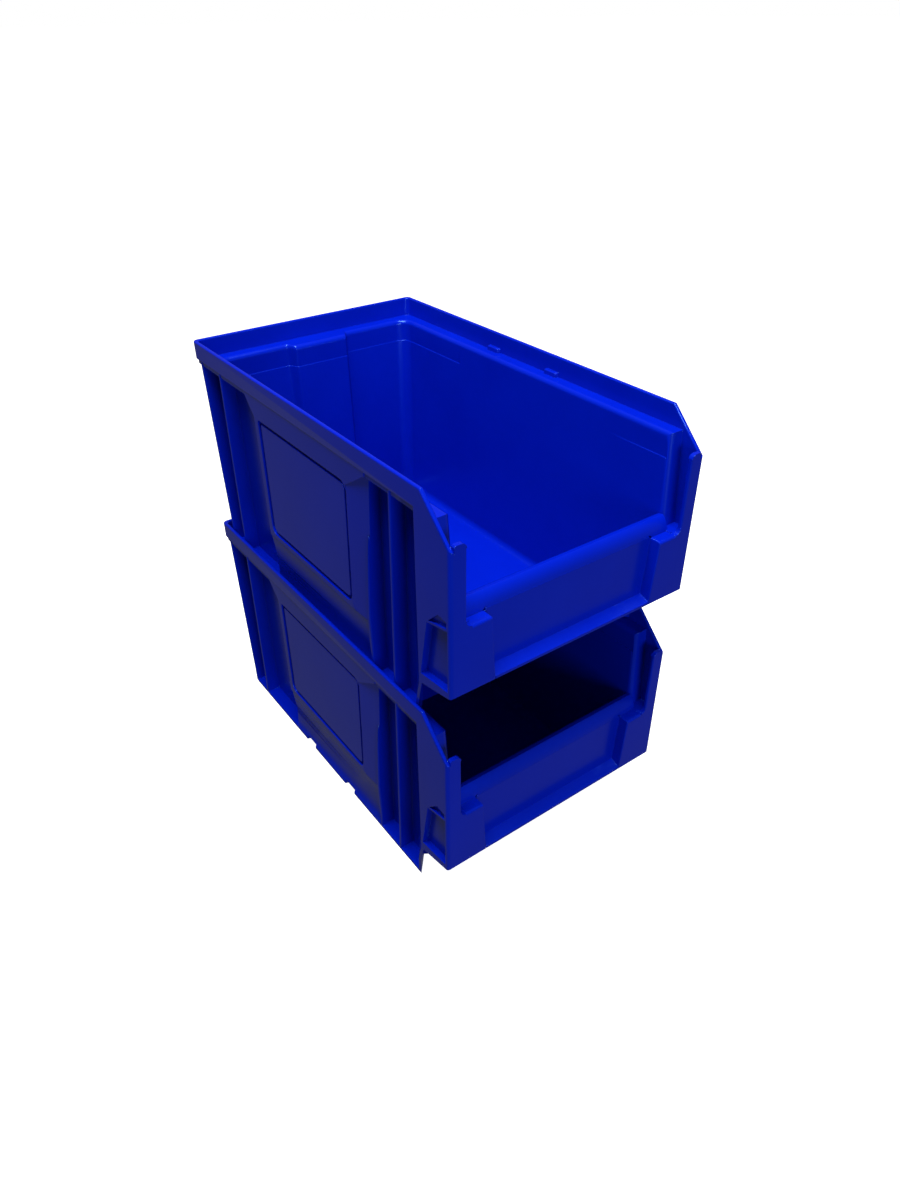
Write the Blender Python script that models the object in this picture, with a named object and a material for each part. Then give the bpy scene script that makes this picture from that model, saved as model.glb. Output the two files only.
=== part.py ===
"""Two stacked open-front storage bins, each one injection moulding in polypropylene.

The lower bin stands on its flat base.  The upper bin is the same moulding: its base
flange drops inside the lower bin's rim and rests on the ledge behind it.

Bin axes: x across, y from the front face towards the back, z up from the base.
The whole stack is then centred on its footprint, with the base at z = 0.
"""
import math

import bmesh
import bpy
from mathutils import Vector

MM = 0.001

# Overall size of one bin
WIDTH = 148.0 * MM            # over the rim
LENGTH = 250.0 * MM           # front face to the back of the rim
HEIGHT = 130.0 * MM           # base to the top of the rim

# Walls and floor
WALL = 2.0 * MM               # side and back walls
FLOOR = 3.0 * MM
LIP_WALL = 2.2 * MM           # the upstanding rim lip and the front wings
WALL_DRAFT = 3.0 * MM         # how much a wall leans in between the ledge and the floor
SKIN = 1.6 * MM               # sheet left around the hollow panel and wing
CORE_GAP = 0.4 * MM           # hollow behind the panel starts this far outside the wall
CORNER_RADIUS = 7.0 * MM      # upright inside corners at the back
FLOOR_RADIUS = 4.0 * MM       # where the walls run into the floor
CORNER_STEPS = 6

# Rim and the ledge that carries the next bin
NEST_DEPTH = 10.8 * MM        # rim top down to the ledge
LEDGE_WIDTH = 7.8 * MM        # ledge between the lip and the wall
LEDGE_ROUND = 2.5 * MM        # rounded inner edge of the ledge
RIM_CORNER_RADIUS = 3.0 * MM
RIM_DROP = 10.3 * MM          # height of the lip's outer face
RIM_STEP = 0.8 * MM           # square step under the lip
LEDGE_SHEET = 1.8 * MM        # plastic under the ledge
COVE_DROP = 5.5 * MM          # rim underside curving back to the wall below the ledge
COVE_SHARES = (0.0, 0.45, 1.0)   # heights on that curve where it bends

# Channel pressed into the middle of the back wall
CHANNEL_WIDTH = 42.0 * MM
CHANNEL_DEPTH = 5.5 * MM
CHANNEL_SLOPE = 3.0 * MM      # width of each slanted side

# Base flange
FLANGE_THICKNESS = 2.0 * MM
NEST_CLEARANCE = 0.3 * MM     # between stacked bins, all round
FLANGE_BACK = 6.6 * MM        # back of the flange in from the back of the rim
TIP_SETBACK = 30.0 * MM       # pointed front ends of the flange behind the front face
TIP_LENGTH = 11.0 * MM        # from those points back to the front of the base

# Locating bumps on the ledge and the notches that drop over them
STACK_SHIFT = 3.9 * MM        # the upper bin sits this far forward of the lower one
NOTCH_PITCH = 50.0 * MM
NOTCH_FRONT = 110.0 * MM      # first notch behind the front face
NOTCH_LENGTH = 10.0 * MM
NOTCH_DEPTH = 2.4 * MM
BUMP_HEIGHT = 2.6 * MM

# Ribs between the rim and the flange on each side
RIB_THICKNESS = 1.8 * MM
FRONT_RIB = 51.0 * MM         # front rib from the front face, at its foot
BACK_RIB = 26.0 * MM          # back rib in from the back of the rim, at its foot
CORNER_RIB = 9.0 * MM         # corner rib in from the back of the rim
RIB_LEAN = 8.0 * MM           # ribs lean this far forward from foot to rim

# Raised panel on each side, with a sunk window
PANEL_PROUD = 1.0 * MM        # panel face in from the rim's outer face
PANEL_FRONT = 71.5 * MM       # from the front face, at the panel's foot
PANEL_BACK = 72.0 * MM        # in from the back of the rim
PANEL_BACK_TAPER = 10.0 * MM  # the back edge runs out this much more under the rim
PANEL_BACK_SLANT = 15.0 * MM  # the slanted return behind that edge
WINDOW_DEPTH = 1.6 * MM       # groove round the window
GROOVE_WIDTH = 1.6 * MM
FIELD_DEPTH = 0.4 * MM        # window field behind the panel face
WINDOW_FRAME = 18.5 * MM      # frame in front of the window, at its head
WINDOW_LEAN = 2.5 * MM        # and this much more at its sill
WINDOW_HEAD = 12.5 * MM       # frame above the window, below the rim
WINDOW_SILL = 39.0 * MM       # window bottom above the base
WINDOW_RADIUS = 5.0 * MM
COVE_DEPTH = 2.8 * MM         # hollow curve below the window
COVE_SKEW = 0.6               # below 1, the curve is deepest nearer the base
COVE_STEPS = 8

# Open front
CHAMFER_LENGTH = 20.4 * MM    # rim ends this far behind the front face
CHAMFER_HEIGHT = 20.3 * MM    # and runs down this much to the post
POST_WIDTH = 8.5 * MM
POST_THICKNESS = 2.4 * MM
POST_CAP = 2.8 * MM           # post top above the end of the chamfer
WING_LENGTH = 25.0 * MM       # outer skin of the front corner
WEB_THICKNESS = 2.2 * MM      # slanted web behind the wing
GROOVE_FLOOR = 71.0 * MM      # upright groove behind each post starts here
GROOVE_BACK = 9.5 * MM        # back face of the groove at its floor
GROOVE_LEAN = 3.5 * MM        # and how far it leans back up to the ledge
GROOVE_ROUND = 3.0 * MM

# Front wall with the label recess between two end blocks
FRONT_BOTTOM = 34.7 * MM      # underside of the front face above the base
FRONT_TOP = 78.3 * MM         # top of the front wall
LABEL_RECESS = 6.3 * MM       # label face behind the front face
FRONT_WALL = 2.4 * MM
TOP_LEAN = 4.0 * MM           # the top edge rolls back this much
TOP_ROLL = 9.0 * MM           # over this height
TOP_TURN = 72.0               # and through this angle, in degrees
TOP_STEPS = 5
BLOCK_TOP = 70.5 * MM
BLOCK_WIDTH = 22.5 * MM       # from the outside of the bin
BLOCK_FLARE = 2.5 * MM        # block is this much wider at the bottom
SHELF_RISE = 2.0 * MM         # label shelf slopes up towards the label face
SHELF_EDGE = 1.9 * MM
WING_DROP = 5.5 * MM          # bottom of the wing is lower at its back end

# Sunk face on the outside of each block, and the shallow slot above it
SIDE_RECESS = 3.5 * MM        # depth of the sunk face
RECESS_FOOT = 3.0 * MM        # its foot above the underside of the front
RECESS_FOOT_BACK = 0.6 * MM   # and the same at its back
RECESS_MARGIN = 1.5 * MM      # in from the back of the wing at its foot
RECESS_TAPER = 7.5 * MM       # and at its head
RECESS_HEAD = 0.2 * MM        # its head above the block
RECESS_HEAD_DROP = 3.2 * MM   # its head below the block at its back
SLOT_GAP = 1.2 * MM           # between the sunk face and the slot
SLOT_HEIGHT = 3.1 * MM
SLOT_BACK = 9.0 * MM          # top of the slot ends this far behind the front face

# Plastic
COLOUR = (0.002, 0.018, 0.640, 1.0)
ROUGHNESS = 0.32
EPS = 1.0 * MM                # how far a cutter runs past what it cuts
FLAT_ANGLE = 0.5              # faces this near to one plane are merged, in degrees
SHARP_ANGLE = 30.0            # edges this sharp stay crisp, in degrees

# Derived levels and half widths
HALF = WIDTH / 2
LEDGE = HEIGHT - NEST_DEPTH
RIM_EDGE = HEIGHT - RIM_DROP
COVE_TOP = LEDGE - LEDGE_SHEET
COVE_FOOT = COVE_TOP - COVE_DROP
LIP_INSIDE = HALF - LIP_WALL
INSIDE_TOP = LIP_INSIDE - LEDGE_WIDTH
BACK_TOP = LENGTH - LIP_WALL - LEDGE_WIDTH
FLANGE_HALF = LIP_INSIDE - NEST_CLEARANCE
FLANGE_END = LENGTH - FLANGE_BACK
BASE_FRONT = TIP_SETBACK + TIP_LENGTH
WINDOW_TOP = RIM_EDGE - WINDOW_HEAD
PITCH = LEDGE + NEST_CLEARANCE
NESTED = NEST_DEPTH + NEST_CLEARANCE      # part of the foot that goes inside the rim below
ROOT = INSIDE_TOP - WALL_DRAFT + WALL / 2   # how deep ribs are sunk in the wall


def inset_at(z):
    """How far a wall leans in at height z, measured from the ledge."""
    return WALL_DRAFT * (LEDGE - z) / (LEDGE - FLOOR)


def inside_half(z):
    return INSIDE_TOP - inset_at(z)


def inside_back(z):
    return BACK_TOP - inset_at(z)


def body(name, rings):
    """Closed solid: the first ring is filled and extruded through the other rings."""
    mesh = bmesh.new()
    face = mesh.faces.new([mesh.verts.new(point) for point in rings[0]])
    for step, ring in enumerate(rings[1:]):
        result = bmesh.ops.extrude_face_region(mesh, geom=[face])
        if step:
            bmesh.ops.delete(mesh, geom=[face], context="FACES_ONLY")
        face = next(item for item in result["geom"] if isinstance(item, bmesh.types.BMFace))
        for vert, point in zip(face.verts, ring):
            vert.co = point
    bmesh.ops.triangulate(mesh, faces=mesh.faces)
    bmesh.ops.recalc_face_normals(mesh, faces=mesh.faces)
    data = bpy.data.meshes.new(name)
    mesh.to_mesh(data)
    mesh.free()
    piece = bpy.data.objects.new(name, data)
    bpy.context.scene.collection.objects.link(piece)
    piece.hide_render = True
    piece.display_type = "WIRE"
    return piece


def upright(name, outline, low, high):
    """Prism on a plan outline of (x, y) points."""
    return body(name, [[Vector((x, y, z)) for x, y in outline] for z in (low, high)])


def across(name, profile, left, right):
    """Prism along x on a side profile of (y, z) points."""
    return body(name, [[Vector((x, y, z)) for y, z in profile] for x in (left, right)])


def mirrored(piece):
    """The same solid on the other side of the bin."""
    mesh = bmesh.new()
    mesh.from_mesh(piece.data)
    bmesh.ops.scale(mesh, vec=(-1, 1, 1), verts=mesh.verts)
    bmesh.ops.reverse_faces(mesh, faces=mesh.faces)
    data = bpy.data.meshes.new(piece.name + "_mirror")
    mesh.to_mesh(data)
    mesh.free()
    twin = piece.copy()
    twin.data = data
    bpy.context.scene.collection.objects.link(twin)
    return twin


def both(pieces):
    return list(pieces) + [mirrored(piece) for piece in pieces]


def combine(target, tools, operation):
    """Join the tools to the target, or cut them from it, and keep the result as its mesh."""
    for tool in tools:
        modifier = target.modifiers.new(tool.name, "BOOLEAN")
        modifier.operation = operation
        modifier.solver = "EXACT"
        modifier.object = tool
    shape = target.evaluated_get(bpy.context.evaluated_depsgraph_get())
    data = bpy.data.meshes.new_from_object(shape)
    target.modifiers.clear()
    target.data = data
    for tool in tools:
        bpy.data.objects.remove(tool)


def arc(centre, radius, start, end, steps=CORNER_STEPS):
    """Points on an arc, angles in degrees."""
    angles = [math.radians(start + (end - start) * i / steps) for i in range(steps + 1)]
    return [(centre[0] + radius * math.cos(a), centre[1] + radius * math.sin(a)) for a in angles]


def plan(half, front, back, radius, channel=0.0):
    """Plan outline of the bin: square at the front, rounded and channelled at the back."""
    right = arc((half - radius, back - radius), radius, 0, 90)
    outline = [(half, front)] + right
    if channel:
        shoulder, foot = CHANNEL_WIDTH / 2, CHANNEL_WIDTH / 2 - CHANNEL_SLOPE
        outline += [(shoulder, back), (foot, back - channel)]
        outline += [(-foot, back - channel), (-shoulder, back)]
    return outline + [(-x, y) for x, y in reversed(right)] + [(-half, front)]


def at(outline, z):
    return [Vector((x, y, z)) for x, y in outline]


def outer_solids():
    """Everything that the walls, rim, ribs and front corners fill before they are hollowed."""
    tub = body("tub", [
        at(plan(inside_half(z) + WALL, LABEL_RECESS, inside_back(z) + WALL,
                CORNER_RADIUS + WALL, CHANNEL_DEPTH), z)
        for z in (FLANGE_THICKNESS / 2, COVE_FOOT)])
    foot_half = inside_half(COVE_FOOT) + WALL
    foot_back = inside_back(COVE_FOOT) + WALL
    lip_half, lip_back = HALF - RIM_STEP, LENGTH - RIM_STEP
    rings = []
    for share in COVE_SHARES:
        reach = 1 - math.sqrt(1 - share * share)
        rings.append(at(plan(foot_half + (lip_half - foot_half) * reach, LABEL_RECESS,
                             foot_back + (lip_back - foot_back) * reach,
                             RIM_CORNER_RADIUS + CORNER_RADIUS * (1 - reach),
                             CHANNEL_DEPTH - (CHANNEL_DEPTH - RIM_STEP / 2) * reach),
                        COVE_FOOT + COVE_DROP * share))
    rings.append([Vector((point.x, point.y, RIM_EDGE + EPS)) for point in rings[-1]])
    cove = body("rim_cove", rings)
    rim = upright("rim", plan(HALF, 0.0, LENGTH, RIM_CORNER_RADIUS), RIM_EDGE, HEIGHT)
    return tub, [cove, rim]


def web_line(z):
    """Outer end (x, y) of the slanted web's front face at height z."""
    under = FRONT_BOTTOM - WING_DROP
    share = min(max((z - NESTED) / (under - NESTED), 0.0), 1.0)
    outer = FLANGE_HALF + (HALF - FLANGE_HALF) * share
    start = TIP_SETBACK + (WING_LENGTH - WEB_THICKNESS - TIP_SETBACK) * share
    return outer, start


def side_solids():
    """Ribs, raised panel, slanted web and wing of the right-hand side."""
    top = RIM_EDGE + EPS
    solids = []
    levels = ((FLANGE_THICKNESS / 2, FLANGE_HALF), (NESTED, FLANGE_HALF), (top, HALF - NEST_CLEARANCE))
    for name, y in (("front_rib", FRONT_RIB), ("back_rib", LENGTH - BACK_RIB)):
        rings = []
        for z, x in levels:
            start = y - RIB_LEAN * z / top
            rings.append(at([(ROOT, start), (x, start), (x, start + RIB_THICKNESS),
                             (ROOT, start + RIB_THICKNESS)], z))
        solids.append(body(name, rings))

    corner = LENGTH - CORNER_RIB
    inner = ROOT - CORNER_RADIUS - WALL
    wall = inside_back(0.0) + WALL / 2
    solids.append(body("corner_rib", [
        at([(inner, wall), (ROOT - WALL, wall), (ROOT + WALL, corner), (x, corner),
            (x, corner + RIB_THICKNESS), (inner, corner + RIB_THICKNESS)], z) for z, x in levels]))

    back = LENGTH - PANEL_BACK
    rings = []
    for z, x, taper in ((FLANGE_THICKNESS / 2, FLANGE_HALF, 0.0), (NESTED, FLANGE_HALF, 0.0),
                        (WINDOW_SILL, HALF - PANEL_PROUD, 0.0), (WINDOW_TOP, HALF - PANEL_PROUD, 0.0),
                        (top, HALF - NEST_CLEARANCE, PANEL_BACK_TAPER)):
        front = PANEL_FRONT - RIB_LEAN * z / top
        rings.append(at([(ROOT, front), (x, front), (x, back + taper),
                         (ROOT, back + taper + PANEL_BACK_SLANT)], z))
    solids.append(body("panel", rings))

    rings = []
    under = FRONT_BOTTOM - WING_DROP
    for z in (FLANGE_THICKNESS / 2, NESTED, under, top):
        x, y = web_line(z)
        rings.append(at([(x, y), (ROOT, BASE_FRONT), (ROOT, BASE_FRONT + WEB_THICKNESS),
                         (x, y + WEB_THICKNESS)], z))
    solids.append(body("web", rings))

    middle = WEB_THICKNESS / 2
    column = [(ROOT, 0.0), (HALF, 0.0), (HALF, WING_LENGTH - middle), (ROOT, BASE_FRONT + middle)]
    low = [Vector((x, y, FRONT_BOTTOM - WING_DROP * y / WING_LENGTH)) for x, y in column]
    solids.append(body("wing", [low, at(column, top)]))
    return solids


def front_blocks():
    """End block of the label recess on the right-hand side, wider at its foot."""
    edge = HALF - BLOCK_WIDTH
    behind = LABEL_RECESS + FRONT_WALL
    return [body("block", [
        at([(edge - BLOCK_FLARE, 0), (HALF, 0), (HALF, behind), (edge - BLOCK_FLARE, behind)],
           FRONT_BOTTOM),
        at([(edge, 0), (HALF, 0), (HALF, behind), (edge, behind)], BLOCK_TOP)])]


def underside():
    """Cutter for the sloped underside between the base and the front face."""
    return across("underside", [
        (-EPS, -EPS), (BASE_FRONT, -EPS), (BASE_FRONT, 0.0),
        (LABEL_RECESS + WALL, FRONT_BOTTOM - WALL / 2), (-EPS, FRONT_BOTTOM - WALL / 2)],
        -inside_half(0.0) - WALL - EPS, inside_half(0.0) + WALL + EPS)


def cavity():
    """The space that holds the goods, with a rounded foot."""
    front = LABEL_RECESS + FRONT_WALL
    rings = []
    for i in range(CORNER_STEPS + 1):
        angle = math.pi / 2 * i / CORNER_STEPS
        z = FLOOR + FLOOR_RADIUS * (1 - math.cos(angle))
        shrink = FLOOR_RADIUS * (1 - math.sin(angle))
        radius = CORNER_RADIUS - shrink
        rings.append(at(plan(inside_half(z) - shrink, front, inside_back(z) - shrink, radius,
                             CHANNEL_DEPTH), z))
    for i in range(CORNER_STEPS + 1):
        angle = math.pi / 2 * i / CORNER_STEPS
        z = LEDGE - LEDGE_ROUND * (1 - math.sin(angle))
        flare = LEDGE_ROUND * (1 - math.cos(angle))
        rings.append(at(plan(inside_half(z) + flare, front, inside_back(z) + flare,
                             CORNER_RADIUS + flare, CHANNEL_DEPTH), z))
    top = [point + Vector((0.0, 0.0, EPS)) for point in rings[-1]]
    return body("cavity", rings + [top])


def ledge_pocket():
    """Space above the ledge, inside the rim lip."""
    outline = plan(LIP_INSIDE, -EPS, LENGTH - LIP_WALL, RIM_CORNER_RADIUS)
    return upright("ledge_pocket", outline, LEDGE, HEIGHT + EPS)


def mouth():
    """Opening between the wings, with the upright groove behind each post."""
    rings = []
    for z, lean in ((GROOVE_FLOOR, 0.0), (LEDGE, GROOVE_LEAN), (HEIGHT + EPS, GROOVE_LEAN)):
        back = GROOVE_BACK + lean
        inner = inside_half(z)
        half = [(LIP_INSIDE, POST_THICKNESS), (LIP_INSIDE, back)]
        half += [(x, y) for x, y in arc((inner + GROOVE_ROUND, back + GROOVE_ROUND),
                                        GROOVE_ROUND, 270, 180, 4)]
        rings.append(at(half + [(-x, y) for x, y in reversed(half)], z))
    return body("mouth", rings)


def front_opening():
    """Space between the posts above the blocks."""
    reach = HALF - POST_WIDTH
    return across("front_opening", [(-EPS, BLOCK_TOP), (POST_THICKNESS + EPS, BLOCK_TOP),
                                    (POST_THICKNESS + EPS, HEIGHT + EPS), (-EPS, HEIGHT + EPS)],
                  -reach, reach)


def chamfer():
    """Sloped front end of the rim lip."""
    foot = HEIGHT - CHAMFER_HEIGHT
    return across("chamfer", [(-EPS, foot - EPS), (0.0, foot), (CHAMFER_LENGTH, HEIGHT),
                              (CHAMFER_LENGTH, HEIGHT + EPS), (-EPS, HEIGHT + EPS)],
                  LIP_INSIDE, HALF + EPS)


def post_top():
    """Cutter that rounds off the top of the right-hand post."""
    top = HEIGHT - CHAMFER_HEIGHT + POST_CAP
    inner, outer = HALF - POST_WIDTH, LIP_INSIDE + POST_CAP / 4
    dome = arc((inner + POST_CAP, top - POST_CAP), POST_CAP, 180, 90, 4)
    dome += [(outer - POST_CAP / 2, top), (outer, top - POST_CAP / 2)]
    outline = [(inner - EPS, top - POST_CAP)] + dome
    outline += [(outer, HEIGHT + EPS), (inner - EPS, HEIGHT + EPS)]
    return body("post_top", [[Vector((x, y, z)) for x, z in outline]
                             for y in (-EPS, POST_THICKNESS + EPS / 10)])


def window_outline(inset):
    """Rounded outline of the window in (y, z), drawn in by the inset."""
    front = PANEL_FRONT - RIB_LEAN * WINDOW_TOP / RIM_EDGE + WINDOW_FRAME + inset
    foot = front + WINDOW_LEAN
    back = LENGTH - PANEL_BACK - 2 * GROOVE_WIDTH - inset
    low, high = WINDOW_SILL + inset, WINDOW_TOP - inset
    r = WINDOW_RADIUS - inset
    return (arc((foot + r, low + r), r, 180, 270, 4) + arc((back - r, low + r), r, 270, 360, 4)
            + [(back, high)] + arc((front + r, high - r), r, 90, 180, 4))


def window():
    """Groove that outlines the window of the right-hand panel."""
    outside = across("window", window_outline(0.0), HALF - PANEL_PROUD - WINDOW_DEPTH, HALF + EPS)
    field = across("field", window_outline(GROOVE_WIDTH), HALF - PANEL_PROUD - 2 * WINDOW_DEPTH,
                   HALF - PANEL_PROUD - FIELD_DEPTH)
    combine(outside, [field], "DIFFERENCE")
    return outside


def panel_cove():
    """Hollow curve between the window sill and the base flange."""
    low, high = FLANGE_THICKNESS, WINDOW_SILL - 2 * WINDOW_DEPTH
    front = PANEL_FRONT + RIB_THICKNESS / 2
    back = LENGTH - PANEL_BACK + PANEL_BACK_SLANT
    rings = []
    for y in (front, back):
        ring = []
        for i in range(COVE_STEPS + 1):
            share = i / COVE_STEPS
            sag = max(0.0, math.sin(math.pi * share ** COVE_SKEW))
            ring.append(Vector((FLANGE_HALF - COVE_DEPTH * sag, y, low + (high - low) * share)))
        ring.append(Vector((HALF + EPS, y, high + WINDOW_DEPTH)))
        ring.append(Vector((HALF + EPS, y, low)))
        rings.append(ring)
    return body("panel_cove", rings)


def side_recess():
    """Sunk face on the outside of the front block, and the slot above it into the groove."""
    back = WING_LENGTH - RECESS_TAPER
    head, head_back = BLOCK_TOP + RECESS_HEAD, BLOCK_TOP - RECESS_HEAD_DROP
    sunk = across("side_recess", [
        (POST_THICKNESS, FRONT_BOTTOM + RECESS_FOOT),
        (WING_LENGTH - RECESS_MARGIN, FRONT_BOTTOM + RECESS_FOOT_BACK),
        (back, head_back), (POST_THICKNESS, head)], HALF - SIDE_RECESS, HALF + EPS)
    front = POST_THICKNESS + EPS / 2
    slot = across("side_slot", [
        (front, head + SLOT_GAP), (back - EPS, head_back + SLOT_GAP),
        (SLOT_BACK, head + SLOT_GAP + SLOT_HEIGHT + EPS), (front, head + SLOT_GAP + SLOT_HEIGHT)],
        LIP_INSIDE + LIP_WALL / 4, HALF + EPS)
    return [sunk, slot]


def flange():
    """Base plate with its overhang and pointed front ends."""
    half = [(ROOT, BASE_FRONT), (FLANGE_HALF, TIP_SETBACK)]
    half += arc((FLANGE_HALF - RIM_CORNER_RADIUS, FLANGE_END - RIM_CORNER_RADIUS),
                RIM_CORNER_RADIUS, 0, 90, 3)
    channel = CHANNEL_WIDTH / 2
    half += [(channel, FLANGE_END), (channel - CHANNEL_SLOPE, FLANGE_END - CHANNEL_DEPTH)]
    return upright("flange", half + [(-x, y) for x, y in reversed(half)], 0.0, FLANGE_THICKNESS)


def notches():
    """Notches through the edge of the flange and the foot of the panel."""
    cutters = []
    reach = NOTCH_LENGTH / 2
    slope = NOTCH_DEPTH / 2
    for i in range(2):
        y = NOTCH_FRONT + i * NOTCH_PITCH
        outline = [(FLANGE_HALF + EPS, y - reach - slope), (FLANGE_HALF - NOTCH_DEPTH, y - reach),
                   (FLANGE_HALF - NOTCH_DEPTH, y + reach), (FLANGE_HALF + EPS, y + reach + slope)]
        cutters.append(upright("notch_%d" % i, outline, -EPS, BUMP_HEIGHT + 2 * NEST_CLEARANCE))
    return cutters


def bumps():
    """Locating bumps where the ledge meets the lip; the notches of the next bin clear them."""
    solids = []
    depth = NOTCH_DEPTH - NEST_CLEARANCE
    for i in range(2):
        y = NOTCH_FRONT + i * NOTCH_PITCH - STACK_SHIFT
        reach = NOTCH_LENGTH / 2 - 2 * NEST_CLEARANCE
        outline = [(LIP_INSIDE + LIP_WALL / 2, y - reach - depth / 2),
                   (LIP_INSIDE - depth, y - reach), (LIP_INSIDE - depth, y + reach),
                   (LIP_INSIDE + LIP_WALL / 2, y + reach + depth / 2)]
        solids.append(upright("bump_%d" % i, outline, LEDGE - WALL / 2, LEDGE + BUMP_HEIGHT))
    return solids


def front_wall():
    """Sheet behind the label, rolled back along its top edge."""
    face, back = LABEL_RECESS, LABEL_RECESS + FRONT_WALL
    roll = FRONT_TOP - TOP_ROLL
    full = math.radians(TOP_TURN)
    outside, inside = [], []
    for i in range(TOP_STEPS + 1):
        angle = full * i / TOP_STEPS
        lean = TOP_LEAN * (1 - math.cos(angle)) / (1 - math.cos(full))
        rise = TOP_ROLL * math.sin(angle) / math.sin(full)
        outside.append((face + lean, roll + rise))
        inside.append((back + lean + FRONT_WALL / 6, roll + rise - FRONT_WALL / 3))
    profile = [(back, FRONT_BOTTOM + WALL), (face, FRONT_BOTTOM + WALL)] + outside
    profile += list(reversed(inside))
    reach = inside_half(FRONT_BOTTOM) + WALL / 2
    return across("front_wall", profile, -reach, reach)


def scoop():
    """Sloped plate between the floor and the foot of the front wall."""
    back = LABEL_RECESS + FRONT_WALL
    profile = [(BASE_FRONT + 2 * WALL, 0.0), (BASE_FRONT, 0.0),
               (LABEL_RECESS + WALL, FRONT_BOTTOM), (LABEL_RECESS, FRONT_BOTTOM + 2 * WALL),
               (back, FRONT_BOTTOM + 2 * WALL), (BASE_FRONT + WALL, FLOOR)]
    reach = ROOT - WALL / 4
    return across("scoop", profile, -reach, reach)


def shelf():
    """Sloped shelf under the label recess."""
    reach = HALF - BLOCK_WIDTH + BLOCK_FLARE
    return across("shelf", [
        (0.0, FRONT_BOTTOM), (LABEL_RECESS + FRONT_WALL, FRONT_BOTTOM),
        (LABEL_RECESS + FRONT_WALL, FRONT_BOTTOM + SHELF_EDGE + SHELF_RISE),
        (LABEL_RECESS, FRONT_BOTTOM + SHELF_EDGE + SHELF_RISE),
        (0.0, FRONT_BOTTOM + SHELF_EDGE)], -reach, reach)


def hollows():
    """Cores that thin the panel, the wing and the block, open underneath."""
    high = RIM_EDGE - 2 * COVE_DROP
    skin = FLANGE_HALF - COVE_DEPTH - SKIN
    under = FRONT_BOTTOM - WING_DROP
    rings = []
    for z, outer in ((-EPS, skin), (WINDOW_SILL, skin + COVE_DEPTH / 2), (high, skin + COVE_DEPTH / 2)):
        inner = inside_half(z) + WALL + CORE_GAP
        rings.append(at([(inner, PANEL_FRONT + SKIN), (outer, PANEL_FRONT + SKIN),
                         (outer, LENGTH - PANEL_BACK - SKIN), (inner, LENGTH - PANEL_BACK - SKIN)], z))
    panel = body("panel_hollow", rings)

    rings = []
    start = GROOVE_BACK + GROOVE_LEAN + WALL
    for z in (under - EPS, high):
        inner = inside_half(z) + WALL + CORE_GAP
        slope = (BASE_FRONT - WING_LENGTH + WEB_THICKNESS) / (HALF - ROOT)
        stops = [BASE_FRONT - slope * (x - ROOT) - EPS for x in (skin, inner)]
        rings.append(at([(inner, start), (skin, start), (skin, stops[0]), (inner, stops[1])], z))
    wing = body("wing_hollow", rings)

    edge = HALF - BLOCK_WIDTH + WALL
    reach = HALF - 2 * SIDE_RECESS - WALL
    block = upright("block_hollow", [(edge, WALL), (reach, WALL), (reach, LABEL_RECESS - EPS),
                                     (edge, LABEL_RECESS - EPS)],
                    under, BLOCK_TOP - WALL)
    return [panel, wing, block]


def moulding():
    """One bin, in its own axes."""
    shape, rims = outer_solids()
    combine(shape, [underside()], "DIFFERENCE")
    combine(shape, rims + both(side_solids() + front_blocks()), "UNION")
    combine(shape, [cavity(), ledge_pocket(), mouth(), front_opening()]
            + both([chamfer(), post_top(), window(), panel_cove()] + side_recess()), "DIFFERENCE")
    combine(shape, [flange(), scoop(), front_wall(), shelf()] + both(bumps()), "UNION")
    combine(shape, both(hollows() + notches()), "DIFFERENCE")
    mesh = bmesh.new()
    mesh.from_mesh(shape.data)
    bmesh.ops.dissolve_limit(mesh, angle_limit=math.radians(FLAT_ANGLE), verts=mesh.verts,
                             edges=mesh.edges)
    bmesh.ops.triangulate(mesh, faces=mesh.faces)
    mesh.to_mesh(shape.data)
    mesh.free()
    return shape


def plastic(name):
    """Blue polypropylene, one material for each bin."""
    material = bpy.data.materials.new(name)
    material.use_nodes = True
    shader = material.node_tree.nodes["Principled BSDF"]
    shader.inputs["Base Color"].default_value = COLOUR
    shader.inputs["Roughness"].default_value = ROUGHNESS
    shader.inputs["Metallic"].default_value = 0.0
    return material


def build():
    """Place the moulding twice, centred on the footprint of the stack."""
    for item in list(bpy.data.objects):
        bpy.data.objects.remove(item)
    shape = moulding()
    centre = (LENGTH - STACK_SHIFT) / 2
    places = (("lower_bin", (0.0, -centre, 0.0)),
              ("upper_bin", (0.0, -centre - STACK_SHIFT, PITCH)))
    for name, place in places:
        item = bpy.data.objects.new(name, shape.data.copy())
        item.data.materials.clear()
        item.data.materials.append(plastic(name + "_polypropylene"))
        item.data.shade_smooth()
        item.data.set_sharp_from_angle(angle=math.radians(SHARP_ANGLE))
        item.location = place
        bpy.context.scene.collection.objects.link(item)
    bpy.data.objects.remove(shape)


build()
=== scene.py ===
"""Studio view of two stacked open-front storage bins, injection moulded in blue polypropylene.

Each bin is one moulding. It is modelled in its own axes, x across, y from the front face
towards the back and z up from the base, and is then put where its node of the frame lies.
"""
import logging
import math
from dataclasses import dataclass
from enum import Enum
from typing import Callable, Iterable, Sequence

import bmesh
import bpy
from mathutils import Matrix, Vector


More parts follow.
